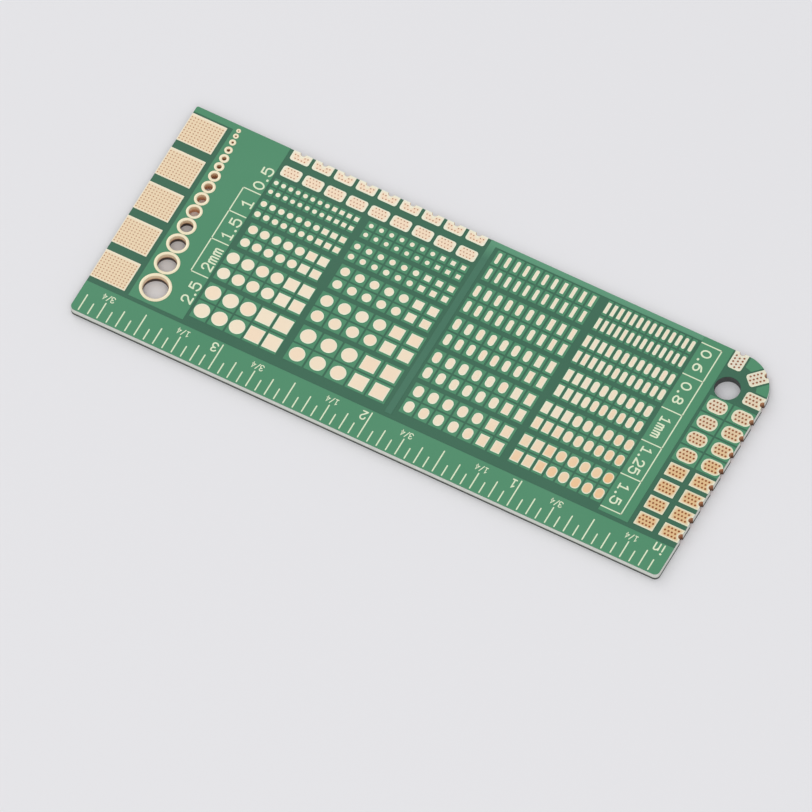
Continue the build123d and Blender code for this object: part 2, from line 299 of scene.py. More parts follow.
# %% Pale gold plating and dark copper
def plating_material(name, first, second, within, roughness, grain, metallic=0.75, foot=None):
    """Soft metal whose tone drifts from pad to pad, with a fine satin grain.

    The mesh's own "rim" value is 1 at a pad's edge, which is palest, and 0 well within it. In a
    hole the value is painted shade, lower the deeper and narrower the wall, and its lowest values
    are its foot, which may take a dark painted shadow of its own.
    """
    material, tree, shader = new_material(name, roughness, metallic)
    place = object_place(tree)
    rim = add_node(tree, "Attribute", attribute_name="rim")["Fac"]
    # The tone within carries the painted warm light toward the front right corner.
    inner = add_node(tree, "Group", {"Vector": place, "Color": within}, node_tree=painted_warm_light_group)
    outer = drifting(tree, place, 260.0, first, second)
    tone = mixed(tree, rim, inner["Color"], outer["Color"])
    # Painted shadow: the lowest values, at a hole's foot, take the dark foot colour.
    if foot:
        tone = mixed(tree, ramp(tree, rim, 0.0, 0.12), foot, tone)
    grains = add_node(tree, "TexNoise", {"Vector": place, "Scale": 4200.0})
    feed(tree, shader, {"Base Color": tone})
    relief(tree, shader, grains["Fac"], strength=grain, distance=0.00001)
    return material


# Each row gives a name, two tones at the edge, the tone within, the roughness and the grain.
land_gold, pad_gold, mesh_gold, well_copper, mesh_dot, faint_copper = (
    plating_material(*values) for values in (
        ("land_gold", (0.89, 0.89, 0.67), (0.94, 0.95, 0.79), (0.97, 0.77, 0.56), 0.42, 0.25),
        ("pad_gold", (0.87, 0.85, 0.62), (0.91, 0.90, 0.72), (0.85, 0.78, 0.62), 0.45, 0.25),
        ("mesh_gold", (0.92, 0.84, 0.64), (0.95, 0.88, 0.70), (0.88, 0.71, 0.48), 0.5, 0.4),
        ("well_copper", (0.34, 0.10, 0.05), (0.45, 0.15, 0.07), (0.42, 0.175, 0.085), 0.55, 0.4),
        ("mesh_dot", (0.72, 0.45, 0.30), (0.78, 0.53, 0.36), (0.66, 0.40, 0.25), 0.55, 0.4),
        ("faint_copper", (0.78, 0.52, 0.36), (0.84, 0.58, 0.42), (0.64, 0.35, 0.21), 0.55, 0.4),
    )
)
# Painted shade: deep narrow walls take the reddish colour within, wide bores a dark foot.
hole_gold = plating_material(
    "hole_gold", (0.90, 0.78, 0.52), (0.96, 0.86, 0.62), (0.66, 0.29, 0.11), 0.42, 0.25,
    metallic=0.3, foot=(0.030, 0.012, 0.003),
)


# %% Drilled wall, print and floor
def dull_material(name, roughness, scale, first, second):
    """A plain finish whose colour drifts between two values."""
    material, tree, shader = new_material(name, roughness)
    colour = drifting(tree, object_place(tree), scale, first, second)["Color"]
    feed(tree, shader, {"Base Color": colour})
    return material


drilled_wall = dull_material(
    "drilled_wall", 0.7, 1600.0, (0.030, 0.034, 0.034), (0.075, 0.080, 0.075)
)
print_ink = dull_material("print_ink", 0.6, 1500.0, (0.66, 0.75, 0.50), (0.82, 0.87, 0.63))
floor_paint, tree, shader = new_material("floor_paint", roughness=0.6)
feed(tree, shader, {"Base Color": (0.80, 0.79, 0.79)})
floor_mesh.materials.append(floor_paint)
print("materials:", len(bpy.data.materials))

# %% [markdown]
# ## Two ways to make a thin flat piece
#
# Nearly all of the board is flat shapes with a small thickness. There are two cases:
#
# * hundreds of lands and cells, which are all rounded rectangles (a round land is one whose
#   corners are as large as it is), so one formula makes them all at once as arrays;
# * a few plates with free outlines and holes, whose faces are filled by triangulation.
#
# Both give the top edge a small slope, because foil and lacquer never end in a sharp corner.


# %% Keep a part as a piece of the board
def keep_piece(name, part, materials, rim=None, replaces=()):
    """Make a mesh from a part in mm, give it its materials and let it ride on the board.

    A part is its points, its faces and a material number for each face.
    """
    points, faces, kinds = part
    mesh = bpy.data.meshes.new(name)
    mesh.from_pydata(points * MM, [], faces)
    for material in materials:
        mesh.materials.append(material)
    mesh.polygons.foreach_set("material_index", np.array(kinds, np.int32))
    if rim is not None:
        mesh.attributes.new("rim", "FLOAT", "POINT").data.foreach_set("value", rim)
    mesh.update()
    piece = bpy.data.objects.new(name, mesh)
    bpy.context.scene.collection.objects.link(piece)
    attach(piece, "root")
    if replaces:
        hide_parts(*replaces)
    print(f"{name}: {len(faces)} faces")
    return piece


def grid_faces(rows, columns, closed=False):
    """Four-sided faces of a grid whose point (i, k) has the number i * columns + k.

    The last column joins the first, and where the grid is closed, so does the last row.
    """
    i, k = np.meshgrid(np.arange(rows if closed else rows - 1), np.arange(columns), indexing="ij")
    after_i, after_k = (i + 1) % rows, (k + 1) % columns
    corners = (i, k), (i, after_k), (after_i, after_k), (after_i, k)
    return np.stack([a * columns + b for a, b in corners], -1).reshape(-1, 4)


# %% Many rounded rectangles at once
own_tone = np.random.default_rng(4)
highest_tone = 0.35
slope = 0.03
rim_share = 0.7


def on_circle(angles):
    """Points of a circle of radius 1 at some angles, as (cos a, sin a)."""
    return np.stack([np.cos(angles), np.sin(angles)], 1)


def rounded_outlines(half_sizes, radii, steps):
    """Outlines of rounded rectangles, as an array of (count, points, 2).

    Point k of a corner lies at the corner's centre plus the radius times (cos a, sin a), where
    a runs through a quarter turn in equal steps. The four corners follow each other.
    """
    quarter = np.linspace(0, math.pi / 2, steps)
    angles = (quarter[None, :] + np.arange(4)[:, None] * math.pi / 2).ravel()
    signs = np.repeat([(1, 1), (-1, 1), (-1, -1), (1, -1)], steps, axis=0)
    centre = (half_sizes - radii[:, None])[:, None, :] * signs[None]
    return centre + radii[:, None, None] * on_circle(angles)[None]


def rounded_slabs(centres, half_sizes, radii, bottom, top, steps, rim_width=0.0):
    """Closed slabs with a sloping top edge, one for each centre.

    Each slab is a few rings of one outline: the bottom, the wall's top and the slope's top,
    which is drawn in by the slope. Where there is a rim, one more ring lies within the top, and
    a narrow slab's rim is narrower. A flat face closes each end. Returns the slabs as one part
    and the "rim" value of each point: 1, but on the inmost ring a low value of each slab's own.
    """
    count, ring = len(centres), 4 * steps
    narrow = half_sizes.min(1)
    radii = np.minimum(radii, narrow - 1e-4)
    levels = [(bottom, 0.0), (top - slope, 0.0), (top, slope)]
    if rim_width:
        levels.append((top, slope + np.minimum(rim_width, narrow * rim_share)))
    rings = []
    for height, inset in levels:
        inset = np.broadcast_to(inset, count)
        flat = rounded_outlines(
            half_sizes - inset[:, None], np.maximum(radii - inset, 1e-3), steps
        ) + centres[:, None, :]
        rings.append(np.dstack([flat, np.full((count, ring), height)]))
    points = np.stack(rings, 1).reshape(-1, 3)
    rim = np.ones((count, len(levels), ring))
    if rim_width:
        rim[:, -1] = own_tone.uniform(0.0, highest_tone, count)[:, None]
    start = np.arange(count)[:, None] * len(levels) * ring
    faces = (start[:, None] + grid_faces(len(levels), ring)).reshape(-1, 4).tolist()
    faces += (start + (len(levels) - 1) * ring + np.arange(ring)).tolist()
    faces += (start + np.arange(ring)[::-1]).tolist()
    return (points, faces, [0] * len(faces)), rim.ravel()


# %% One plate with a free outline and holes
def hole_loop(centre, radius, count):
    """Points at equal angles round a circle, clockwise."""
    angles = -np.arange(count) * 2 * math.pi / count
    return np.array(centre) + radius * on_circle(angles)


def left_of(ahead):
    """The unit directions to the left of directions that point ahead."""
    ahead = ahead / np.linalg.norm(ahead, axis=1)[:, None]
    return np.stack([-ahead[:, 1], ahead[:, 0]], 1)


def drawn_in(loop, distance):
    """Move a closed loop to its left by a distance, along the mean normal of its two sides."""
    normal = left_of(np.roll(loop, -1, 0) - loop)
    mean = normal + np.roll(normal, 1, 0)
    mean /= np.maximum(np.linalg.norm(mean, axis=1)[:, None], 1e-9)
    share = np.maximum((mean * normal).sum(1), 0.3)
    return loop + mean * (distance / share)[:, None]


def filled(loops):
    """Triangles between loops. A triangle counts where a ray from its centre crosses the
    loops an odd number of times, so that holes stay open."""
    points = np.vstack(loops)
    first = np.cumsum([0] + [len(loop) for loop in loops])
    edges = [
        (int(a + i), int(a + (i + 1) % (b - a)))
        for a, b in zip(first[:-1], first[1:]) for i in range(b - a)
    ]
    made, _, triangles = delaunay_2d_cdt([Vector(p) for p in points], edges, [], 0, 1e-7)[:3]
    if len(made) != len(points):
        raise ValueError(f"the loops touch: {len(points)} points became {len(made)}")
    triangles = np.array([list(t) for t in triangles])
    x, y = points[triangles].mean(1).T[..., None]
    end = np.vstack([np.roll(loop, -1, 0) for loop in loops])
    spans = (points[:, 1] > y) != (end[:, 1] > y)
    rise = np.where(end[:, 1] == points[:, 1], 1.0, end[:, 1] - points[:, 1])
    cross = points[:, 0] + (y - points[:, 1]) * (end[:, 0] - points[:, 0]) / rise
    return triangles[(spans & (cross > x)).sum(1) % 2 == 1]


def stacked(flat, heights):
    """A set of flat points, repeated at each height."""
    return np.vstack([np.column_stack([flat, np.full(len(flat), height)]) for height in heights])


def plate(loops, levels, walls=None, wells=(), well_floor=0.0):
    """A closed plate: the first loop runs anticlockwise round it, holes run clockwise.

    levels is a list of (height, inset) from the bottom up, and each wall is the loops carried
    from one level to the next. Wells are clockwise loops in the top face only, each a wall down
    to its own floor. Returns a part whose material number is 1 in the wells.
    """
    rings = [[drawn_in(loop, inset) if inset else loop for loop in loops] for _, inset in levels]
    total = sum(len(loop) for loop in loops)
    points = np.vstack([stacked(np.vstack(ring), [level[0]]) for ring, level in zip(rings, levels)])
    faces, kinds = [], []
    for level, kind in enumerate(walls or [0] * (len(levels) - 1)):
        first = level * total
        for loop in loops:
            here = first + np.arange(len(loop))
            following = np.roll(here, -1)
            faces += np.stack([here, following, following + total, here + total], 1).tolist()
            kinds += [kind] * len(loop)
            first += len(loop)
    top = filled([*rings[-1], *wells]) + (len(levels) - 1) * total
    bottom = filled(rings[0])[:, ::-1]
    faces += top.tolist() + bottom.tolist()
    kinds += [0] * (len(top) + len(bottom))
    if wells:
        flat = np.vstack(wells)
        points = np.vstack([points, stacked(flat, (levels[-1][0], well_floor))])
        first = len(levels) * total
        for well in wells:
            high = first + np.arange(len(well))
            low = high + len(flat)
            faces += np.stack([low, np.roll(low, -1), np.roll(high, -1), high], 1).tolist()
            faces.append(low[::-1].tolist())
            kinds += [1] * (len(well) + 1)
            first += len(well)
    return points, faces, kinds


# %% Put several parts together
def joined(parts):
    """Join parts into one, shifting each part's point numbers."""
    points, faces, kinds, start = [], [], [], 0
    for part_points, part_faces, part_kinds in parts:
        points.append(part_points)
        faces += [[v + start for v in face] for face in part_faces]
        kinds += part_kinds
        start += len(part_points)
    return np.vstack(points), faces, kinds


# %% [markdown]
# ## Sizes read from the frame
#
# The CAD nodes say where everything lies, so the layers' heights and the outlines' ends come
# from their boxes. Only what the boxes can't tell is typed here: corner radii, the bores of
# the plated holes, and the places of the half holes.


# %% Heights and places
def box_of(node):
    """Low and high corner of a CAD node, in mm."""
    low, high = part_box(node)
    return np.array(low) / MM, np.array(high) / MM


(left, front, _), (right, back, board_top) = box_of("board")
foil_top = box_of("field_ruler")[1][2]
land_top = box_of("mesh_pads")[1][2]
board_bottom = 0.02
front_corner, back_corner, big_corner = 0.8, 0.3, 6.0
mounting_hole_radius = 2.0
mounting_hole = np.array([right - 6.1, back - 6.4])
edge_hole_radius = 0.45
plating = 0.05
hair = 0.005  # keeps two faces from sharing a plane
cut_radius = edge_hole_radius + plating
print("board top, foil top, land top in mm:", board_top, foil_top, land_top)


# %% Rows of pads along the edges
def spread(low, high, count, size):
    """Middles of count equal things that fill the span from low to high."""
    return np.linspace(low + size / 2, high - size / 2, count)


edge_pad_length = 3.2
right_pad_width = 2.4
inner_back_box, outer_back_box = box_of("back_pads_inner"), box_of("back_pads_outer")
inner_right_box, outer_right_box = box_of("right_pads_inner"), box_of("right_pads_outer")
back_pad_columns = spread(inner_back_box[0][0], inner_back_box[1][0], 9, edge_pad_length)
right_pad_rows = spread(inner_right_box[0][1], inner_right_box[1][1], 8, right_pad_width)
plain_rows, round_rows = right_pad_rows[:4], right_pad_rows[4:]
upright_pad_x = right - 6.88
level_pad_y = back - 6.58
corner_centre = np.array([right - big_corner, back - big_corner])
slanted_pad = corner_centre + big_corner * math.sqrt(0.5)
print("pads along the back:", len(back_pad_columns), "and the right:", len(right_pad_rows))

# %% [markdown]
# ## The board itself
#
# A board is cut from a panel, which leaves the layers of glass and resin bare at its side, and
# its half holes are plated holes that the cutter has gone through. The outline is walked once
# round, anticlockwise, with an arc at each corner and a small arc inwards at each half hole.
# Its side gets the laminate's finish and its faces the mask.


# %% Outline with half holes
def arc(centre, radius, start, end, count):
    """Points on a circle from one angle to another, in degrees."""
    angles = np.radians(np.linspace(start, end, count))
    return np.array(centre) + radius * on_circle(angles)


def half_hole(centre, facing, radius, lean=0.0):
    """The inward half circle that a hole on the edge leaves, facing out at an angle."""
    return arc(centre, radius, facing - 90 - lean, facing - 270 + lean, 13)


def front_corners(count):
    """The two round corners at the front, from left to right."""
    return np.vstack([
        arc((left + front_corner, front + front_corner), front_corner, 180, 270, count),
        arc((right - front_corner, front + front_corner), front_corner, 270, 360, count),
    ])


back_left_corner = arc((left + back_corner, back - back_corner), back_corner, 90, 180, 5)
lean = math.degrees(math.asin(cut_radius / (2 * big_corner)))
board_outline = np.vstack([
    front_corners(7),
    *(half_hole((right, y), 0, cut_radius) for y in [*right_pad_rows, level_pad_y]),
    arc(corner_centre, big_corner, 0, 45 - 2 * lean, 12)[:-1],
    half_hole(slanted_pad, 45, cut_radius, lean),
    arc(corner_centre, big_corner, 45 + 2 * lean, 90, 12)[1:],
    *(half_hole((x, back), 90, cut_radius) for x in [upright_pad_x, *back_pad_columns[::-1]]),
    back_left_corner,
])
print("outline points:", len(board_outline))

# %% Plated hole places
bores = (4.0, 3.05, 2.55, 2.05, 1.7, 1.45, 1.3, 1.1, 0.75, 0.7, 0.55, 0.4, 0.3, 0.2)
hole_nodes = [f"plated_hole_{n:02d}" for n in range(1, len(bores) + 1)]
hole_boxes = [box_of(node) for node in hole_nodes]
hole_centres = [(low + high)[:2] / 2 for low, high in hole_boxes]
ring_radii = [(high - low)[0] / 2 for low, high in hole_boxes]
drilled_loops = [
    hole_loop(centre, bore / 2 + plating, 40) for centre, bore in zip(hole_centres, bores)
]
print("widest and narrowest ring in mm:", ring_radii[0] * 2, round(ring_radii[-1] * 2, 2))

# %% Board
MASK, LAMINATE, DRILLED = 0, 1, 2
mask_depth = 0.05
board_levels = [
    (board_bottom, slope), (mask_depth, 0.0), (board_top - mask_depth, 0.0), (board_top, slope)
]
mounting_loop = hole_loop(mounting_hole, mounting_hole_radius, 64)
points, faces, kinds = plate(
    [board_outline, *drilled_loops, mounting_loop], board_levels, walls=[MASK, LAMINATE, MASK]
)
from_hole = np.hypot(*(points[:, :2] - mounting_hole).T)
inside_hole = from_hole < mounting_hole_radius + slope / 2
kinds = [DRILLED if inside_hole[face].all() else kind for face, kind in zip(faces, kinds)]
keep_piece(
    "laminate_board", (points, faces, kinds), [dark_mask, edge_laminate, drilled_wall],
    replaces=["board"],
)

# %% [markdown]
# ## Foil under the mask
#
# The light green areas are copper foil under the lacquer. The foil stands just above the bare
# laminate, and the lacquer runs down its edge in a short slope, so each area is a plate with
# that slope all round.

# %% Large areas of foil
foil_bottom = board_top - 0.01
foil_levels = [(foil_bottom, 0.0), (foil_top - 0.02, 0.0), (foil_top, slope)]
cell_line = 0.3


def keep_foil(name, part, node, mask=light_mask):
    """Keep an area of foil in its lacquer, in place of a CAD node."""
    keep_piece(name, part, [mask], replaces=[node])


def box_loop(low_x, low_y, high_x, high_y):
    """A rectangle's corners, anticlockwise."""
    return np.array([(low_x, low_y), (high_x, low_y), (high_x, high_y), (low_x, high_y)], float)


ruler_back = box_of("field_ruler")[1][1]
ruler_loop = np.vstack([front_corners(9), [(right, ruler_back), (left, ruler_back)]])
(_, field_front, _), (hole_field_right, _, _) = box_of("field_holes")
hole_field_left = left + 6.75
mesh_back = box_of("mesh_pads")[1][1] + cell_line
hole_field_loop = np.vstack([
    [(hole_field_left, field_front), (hole_field_right, field_front), (hole_field_right, back)],
    back_left_corner,
    [(left, mesh_back), (hole_field_left, mesh_back)],
])
(label_left, _, _), (label_right, _, _) = box_of("field_label")
label_loop = box_loop(label_left, field_front, label_right, back)
strip_width, margin_width = 1.1, 0.9
strip_left, margin_right = box_of("field_centre")[0][0], label_left - 0.02
strip_right, margin_front = strip_left + strip_width, back - margin_width
strip_loop = np.array([
    (strip_left, field_front), (strip_right, field_front), (strip_right, margin_front),
    (margin_right, margin_front), (margin_right, back), (strip_left, back),
])
for name, node, loops, mask in (
    ("foil_under_ruler", "field_ruler", [ruler_loop], light_mask),
    ("foil_round_holes", "field_holes", [hole_field_loop, *drilled_loops], light_mask),
    ("foil_under_label", "field_label", [label_loop], light_mask),
    ("foil_up_the_middle", "field_centre", [strip_loop], strip_mask),
):
    keep_foil(name, plate(loops, foil_levels), node, mask)

# %% Foil at the right edge and the big corner
cells_left = box_of("field_right_pads")[0][0]
cell_width = right_pad_rows[1] - right_pad_rows[0] - cell_line
inner_cell_right = inner_right_box[1][0] + cell_line
outer_cell_left = inner_cell_right + cell_line
parts = []
for y in round_rows:
    low, high = y - cell_width / 2, y + cell_width / 2
    inner_cell = box_loop(cells_left, low, inner_cell_right, high)
    outer_cell = np.vstack([
        [(outer_cell_left, low), (right, low)],
        half_hole((right, y), 0, cut_radius),
        [(right, high), (outer_cell_left, high)],
    ])
    parts += [plate([inner_cell], foil_levels), plate([outer_cell], foil_levels)]
keep_foil("foil_round_right_pads", joined(parts), "field_right_pads")

corner_pad_width, corner_pad_length = 2.3, 3.1
wedge_inner_radius = 4.1
pad_side = corner_pad_width / 2 + cell_line


def wedge(start, start_gap, end, end_gap):
    """Foil between two rays from the corner's centre, kept a gap in mm off each ray."""
    low, high = (
        [ray + math.degrees(math.asin(gap / radius)) for radius in (big_corner, wedge_inner_radius)]
        for ray, gap in ((start, start_gap), (end, -end_gap))
    )
    loop = np.vstack([
        arc(corner_centre, big_corner, low[0], high[0], 10),
        arc(corner_centre, wedge_inner_radius, high[1], low[1], 5),
    ])
    return plate([loop], foil_levels)


parts = [
    wedge(0, pad_side - (corner_centre[1] - level_pad_y), 45, pad_side),
    wedge(45, pad_side, 90, pad_side - (corner_centre[0] - upright_pad_x)),
]
keep_foil("foil_between_corner_pads", joined(parts), "field_corner")

# %% [markdown]
# ## Four blocks of lands
#
# A block holds five sizes of land, two rows of each, and as many columns as fit. Each land
# stands in its own cell of foil, and thin dark lines part the cells. The lands' boxes give the
# first and last column, so the number of columns follows from the pitch. A round land and a
# square land differ only in the corner radius, so one call makes a whole block.

# %% Lands and cells
round_sizes = (2.5, 2.0, 1.5, 1.0, 0.75)
oval_sizes = (1.5, 1.25, 1.0, 0.8, 0.6)
oval_width = 2.0
row_gap = 1.0
square_radius = 0.07
cell_radius = 0.06
blocks = (
    ("close_round", round_sizes, 0.5, (2, 2, 2, 3, 4), False),
    ("spaced_round", round_sizes, 1.0, (2, 2, 2, 3, 3), False),
    ("spaced_oval", oval_sizes, 1.0, (2, 2, 2, 3, 4), False),
    ("close_oval", oval_sizes, 0.5, (3, 3, 3, 4, 5), True),
)


def one_size(block, size, gap, squares, square_first):
    """One size of land: its node, and the places, half sizes, radii and cells' half sizes."""
    node = f"lands_{block}_{size:g}mm".replace(".", "_")
    (low_x, low_y, _), (high_x, high_y, _) = box_of(node)
    width = size if block.endswith("round") else oval_width
    count = round((high_x - low_x - size) / (size + gap)) + 1
    columns = spread(low_x, high_x, count, size)
    places = np.array([(x, y) for y in (low_y + width / 2, high_y - width / 2) for x in columns])
    rank = np.tile(np.arange(count), 2)
    square = rank < squares if square_first else rank >= count - squares
    radii = np.where(square, square_radius, min(size, width) / 2)
    half = np.tile((size / 2, width / 2), (len(places), 1))
    cell = half + (np.array([gap, row_gap]) - cell_line) / 2
    return node, places, half, radii, cell


for block, sizes, gap, square_counts, square_first in blocks:
    rows = [
        one_size(block, size, gap, squares, square_first)
        for size, squares in zip(sizes, square_counts)
    ]
    nodes, *arrays = zip(*rows)
    places, half, radii, cell = map(np.concatenate, arrays)
    cells, _ = rounded_slabs(places, cell, cell_radius, foil_bottom, foil_top, steps=3)
    keep_foil(f"cells_{block}", cells, f"field_{block}")
    lands, rim = rounded_slabs(
        places, half, radii, foil_top - hair, land_top, rim_width=0.2, steps=7
    )
    keep_piece(
        f"lands_of_{block}", lands, [land_gold], rim=rim, replaces=nodes
    )

# %% [markdown]
# ## Plated holes
#
# A plated hole is drilled, then copper grows on its wall and on a ring on each face. That makes
# one skin of revolution: up the bore, over the ring's rounded edge, down to the foil, and
# back inside the laminate to the ring below. Its profile is carried round the hole's axis.
# The wall is painted darker the deeper and the narrower the hole, as painted shade, and a wide
# hole's wall has a dark painted shadow at its foot. Each point's "rim" value says how open it
# lies: 1 on the ring, less the deeper and the narrower the hole.

# %% Turned skins
turns = 48


def turned(centre, profile):
    """Carry a closed profile of (radius, height) points round an upright axis.

    Point (i, k) is the centre plus radius k times (cos a, sin a) at height k, with a = i/turns
    of a full turn. Each profile point joins the next, and each turn position the next.
    """
    radius, height = np.array(profile).T
    angles = np.arange(turns) * 2 * math.pi / turns
    flat = centre + radius[None, :, None] * on_circle(angles)[:, None, :]
    points = np.dstack([flat, np.broadcast_to(height, (turns, len(radius)))]).reshape(-1, 3)
    faces = grid_faces(turns, len(radius), closed=True).tolist()
    return points, faces, [0] * len(faces)


# %% Rings and bores
# Painted shade in the bores: darker deep and narrow walls, a dark painted shadow at the foot.
foot_height, foot_rise = 0.7, 0.25
most_open, fall_off = 0.74, 1.6
wide_bore, narrow_foot = 1.8, 0.12


def openness(height, bore):
    """How open a wall point lies: the most / (1 + 1.6 (depth / bore)^2), and less at the foot.

    At the very foot it is the least value. The value sets the painted shade: a wide hole's foot
    takes a dark painted shadow, and a narrow one's the colour within.
    """
    foot = np.clip((height - foot_height) / foot_rise, 0.0, 1.0)
    least = 0.0 if bore > wide_bore else narrow_foot
    narrowing = 1 + fall_off * ((land_top - height) / bore) ** 2
    return least + (most_open - least) * foot / narrowing


ring_bottom, lower_ring = foil_top - 0.01, 0.03
wall_heights = np.array([lower_ring, foot_height, 0.8, 0.95, 1.15, 1.35, land_top - 0.04])
parts, openings = [], []
for centre, bore, ring in zip(hole_centres, bores, ring_radii):
    inner, outer, tube = bore / 2, ring - hair, bore / 2 + plating
    profile = [(inner, height) for height in wall_heights] + [
        (inner + slope, land_top), (outer - slope, land_top), (outer, land_top - slope),
        (outer, ring_bottom), (tube, ring_bottom), (tube, lower_ring), (outer, lower_ring),
        (outer, 0.0), (inner + 0.02, 0.0),
    ]
    parts.append(turned(centre, profile))
    open_values = np.ones(len(profile))
    open_values[:len(wall_heights)] = openness(wall_heights, bore)
    openings.append(np.tile(open_values, turns))
plated = keep_piece(
    "plated_rings_and_bores", joined(parts), [hole_gold],
    rim=np.concatenate(openings), replaces=hole_nodes,
)
plated.data.shade_smooth()

# %% [markdown]
# ## Perforated pads
#
# The pads along the edges are pierced by tiny holes in staggered rows, which show dark copper
# inside. A pattern is worked out once, as an outline and its holes, and then repeated by
# turning and shifting its points. Each small hole is a well with its own wall and floor. The
# "rim" value is 1 on the outline and 0 round the wells, so the pads are palest at the edge.

# %% Pads with holes
WELL, PLATING = 1, 2
well_floor = foil_top + hair
well_sides = 8
pad_levels = [(board_top - hair, 0.0), (land_top - slope, 0.0), (land_top, slope)]


def pierced_pad(outline, holes, radius):
    """A pad with a small round well at each place."""
    wells = [hole_loop(hole, radius, well_sides) for hole in holes]
    return plate([outline], pad_levels, wells=wells, well_floor=well_floor)


def rounded_pad(length, width, holes, hole_radius, corner, steps):
    """A perforated pad with four round corners."""
    half_size = np.array([[length / 2, width / 2]])
    return pierced_pad(rounded_outlines(half_size, np.array([corner]), steps)[0], holes, hole_radius)


def hole_rows(counts, pitch, row_pitch, middles=(0.0, 0.0, 0.0)):
    """Hole places in parallel rows, from the number of holes and the middle of each row."""
    return np.array([
        (middle + pitch * (i - (count - 1) / 2), row_pitch * (row - (len(counts) - 1) / 2))
        for row, (count, middle) in enumerate(zip(counts, middles)) for i in range(count)
    ])


def repeated(part, places, turn=0.0):
    """Copies of a part, turned by an angle in degrees and shifted to each place."""
    points, faces, kinds = part
    c, s = math.cos(math.radians(turn)), math.sin(math.radians(turn))
    turned_points = points @ np.array([[c, s, 0], [-s, c, 0], [0, 0, 1]])
    return [(turned_points + np.array([x, y, 0.0]), faces, kinds) for x, y in places]


def keep_pads(name, parts, node, finish=pad_gold, wells=well_copper):
    """Keep some perforated pads as one piece, with a rim value for each point.

    The value is 0 at the wells, rises up a half hole's plating, and is 1 elsewhere. On that
    plating the low values give painted shade, dark at the foot.
    """
    part = joined(parts)
    points, faces, kinds = part
    rim = np.ones(len(points))
    for kind, highest in ((PLATING, 0.11), (WELL, 0.0)):
        touched = [v for face, own in zip(faces, kinds) if own == kind for v in face]
        rim[touched] = highest * points[touched, 2] / land_top
    materials = [finish, wells, hole_gold][:max(kinds) + 1]
    keep_piece(name, part, materials, rim=rim, replaces=[node])


# %% Mesh pads
mesh_low, mesh_high = box_of("mesh_pads")
mesh_length = mesh_high[0] - mesh_low[0]
mesh_gap = 1.5
mesh_width = (mesh_high[1] - mesh_low[1] - 4 * mesh_gap) / 5
mesh_pitch = 0.524
mesh_dot_radius = 0.12
mesh_shift = (-0.055, -0.145)
dots = hole_rows([11] * 9, mesh_pitch, mesh_pitch, [0.0] * 9) + mesh_shift
mesh_pad = rounded_pad(mesh_length, mesh_width, dots, mesh_dot_radius, corner=0.06, steps=3)
mesh_rows = spread(mesh_low[1], mesh_high[1], 5, mesh_width)
parts = repeated(mesh_pad, [(mesh_low[0] + mesh_length / 2, y) for y in mesh_rows])
keep_pads("pierced_mesh_pads", parts, "mesh_pads", mesh_gold, mesh_dot)


# %% Outer ends with a half hole
def edge_outline(length, width, radius=0.0, bulge=0.0, inner_radius=0.06):
    """A pad's outline with its outer end at x = 0, cut by the half hole there.

    Where the outer corners are round, each arc stops where it meets the half hole. Where the
    outer end bulges, the corners lie on a circle of that radius. The inner corners are round
    too, by the first radius or by their own, whichever is larger.
    """
    notch, lean, sink = edge_hole_radius, 0.0, 0.0
    if radius:
        centre = np.array([-radius, radius - width / 2])
        reach = math.hypot(*centre)
        swing = math.acos((notch**2 + reach**2 - radius**2) / (2 * notch * reach))
        meeting = math.atan2(centre[1], centre[0]) + swing
        x, y = notch * math.cos(meeting) - centre[0], notch * math.sin(meeting) - centre[1]
        lean = -90 - math.degrees(meeting)
        corner = arc(centre, radius, 270, math.degrees(math.atan2(y, x)) + 360, 7)[:-1]
    else:
        if bulge:
            lean = math.degrees(math.asin(notch / (2 * bulge)))
            sink = bulge - math.sqrt(bulge**2 - (width / 2) ** 2)
        corner = np.array([(-sink, -width / 2)])
    turn = max(radius, inner_radius)
    inner_corner = arc((turn - length, turn - width / 2), turn, 180, 270, 6)
    return np.vstack([
        corner, half_hole((0, 0), 0, notch, lean), corner[::-1] * (1, -1),
        inner_corner[::-1] * (1, -1), inner_corner,
    ])


# The plating inside a half hole is a bow-shaped section carried from the bottom to the top.
bow = np.vstack([
    half_hole((0, 0), 0, edge_hole_radius)[::-1], half_hole((0, 0), 0, cut_radius - 0.002)
])
points, faces, _ = plate([bow], [(0.0, 0.0), (land_top - 0.002, 0.0)])
half_tube = points, faces, [PLATING] * len(faces)


def outer_pad(length, width, holes, hole_radius, **shape):
    """An outer pad with its perforations and the plating of its half hole."""
    return joined([pierced_pad(edge_outline(length, width, **shape), holes, hole_radius), half_tube])


# %% Pads along the right edge
hole_pitch, hole_row_pitch = 0.57, 0.65
pin_radius = 0.175
outer_middle = -1.6
inner_holes = hole_rows((4, 5, 4), hole_pitch, hole_row_pitch)
outer_holes = hole_rows(
    (4, 4, 4), hole_pitch, hole_row_pitch,
    (outer_middle, outer_middle - hole_pitch / 2, outer_middle),
)
outer_length = outer_right_box[1][0] - outer_right_box[0][0]
inner_column = (inner_right_box[0][0] + inner_right_box[1][0]) / 2
outer_parts, inner_parts = [], []
for rows, outer_corner, inner_corner, steps in (
    (plain_rows, 0.0, 0.1, 3), (round_rows, 1.0, 1.1, 8),
):
    outer = outer_pad(outer_length, right_pad_width, outer_holes, pin_radius, radius=outer_corner)
    inner = rounded_pad(
        edge_pad_length, right_pad_width, inner_holes, pin_radius, inner_corner, steps
    )
    outer_parts += repeated(outer, [(right, y) for y in rows])
    inner_parts += repeated(inner, [(inner_column, y) for y in rows])
keep_pads("pierced_outer_right_pads", outer_parts, "right_pads_outer")
keep_pads("pierced_inner_right_pads", inner_parts, "right_pads_inner")

